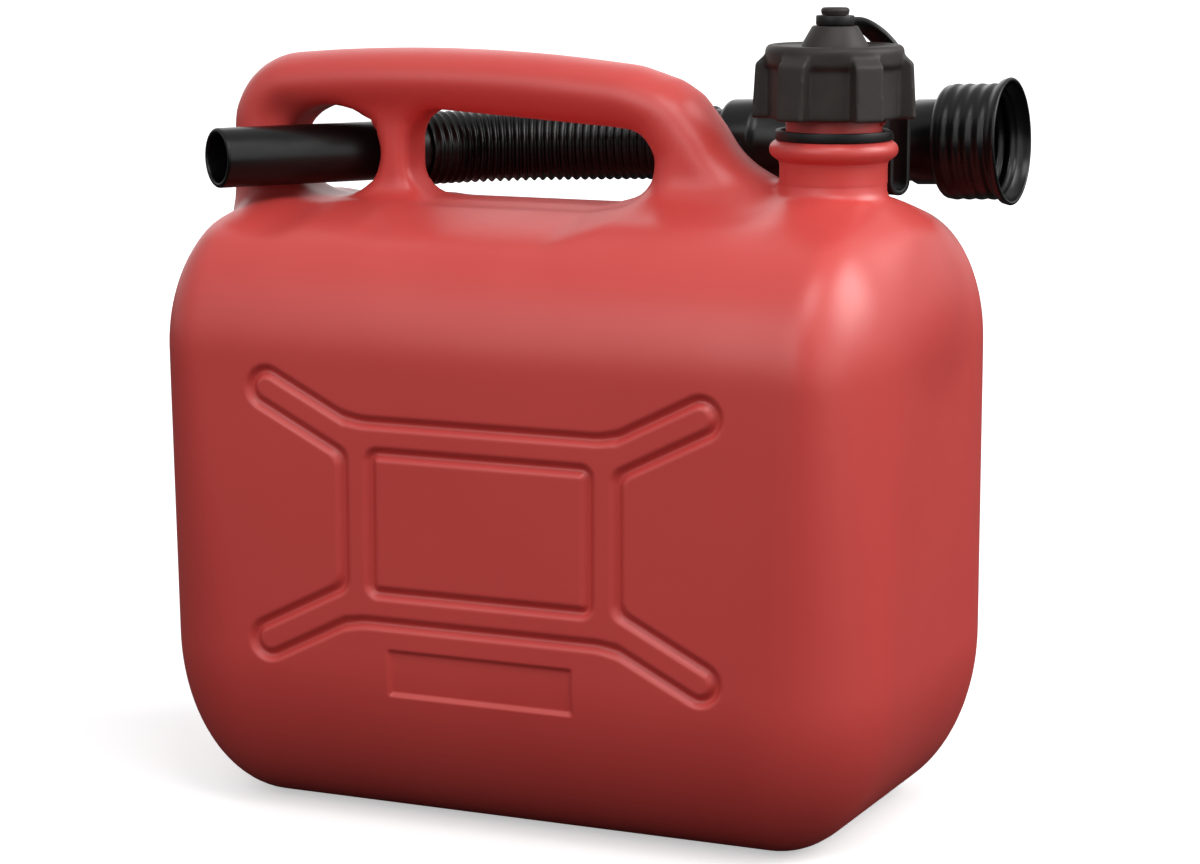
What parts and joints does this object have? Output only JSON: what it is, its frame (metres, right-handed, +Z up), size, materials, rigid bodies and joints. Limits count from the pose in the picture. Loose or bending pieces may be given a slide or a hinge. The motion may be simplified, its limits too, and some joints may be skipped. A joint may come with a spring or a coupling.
{
  "type": "petrol can",
  "caption": "Red plastic petrol can with a moulded carrying handle, a tethered black screw cap and a flexible pouring spout stored through the handle.",
  "frame": {"origin": "centre of the tank's flat base", "axes": "+X along the tank towards the neck, +Y towards the back where the spout is stored, +Z up"},
  "size_m": [0.2496, 0.1512, 0.2567],
  "materials": {
    "red_hdpe": "satin",
    "black_cap": "matte",
    "black_pe": "satin",
    "black_spout": "semi-gloss",
    "seal": "matte"
  },
  "bodies": {
    "can": {"can_body": "red_hdpe", "tether_ring": "black_pe", "tether_strap": "black_pe"},
    "eye": {"tether_eye": "black_pe"},
    "cap": {"screw_cap": "black_cap", "cap_seal": "seal"},
    "nozzle": {"spout_nozzle": "black_spout", "spout_hose": "black_spout"},
    "cuff": {"spout_cuff": "black_spout", "cuff_seal": "seal"}
  },
  "joints": [
    {"name": "cap_lift", "type": "slide", "parent": "can", "child": "eye", "axis": [0, 0, 1], "range_m": [-0.0032, 0.0048], "deforming": ["tether_strap"]},
    {"name": "cap_turn", "type": "hinge", "parent": "eye", "child": "cap", "pos_m": [0.0867, 0, 0.2515], "axis": [0, 0, 1], "range_deg": [-288, 432]},
    {"name": "spout_slide", "type": "slide", "parent": "can", "child": "nozzle", "axis": [0.5736, 0.8192, 0], "range_m": [0, 0.1]},
    {"name": "hose_bend", "type": "hinge", "parent": "nozzle", "child": "cuff", "pos_m": [-0.04486, 0.057, 0.2065], "axis": [0, 0, 1], "range_deg": [0, 55], "deforming": ["spout_hose"]}
  ],
  "couplings": [
    {"joint": "cap_lift", "follows": "cap_turn", "m_per_rad": 0.00063662}
  ]
}
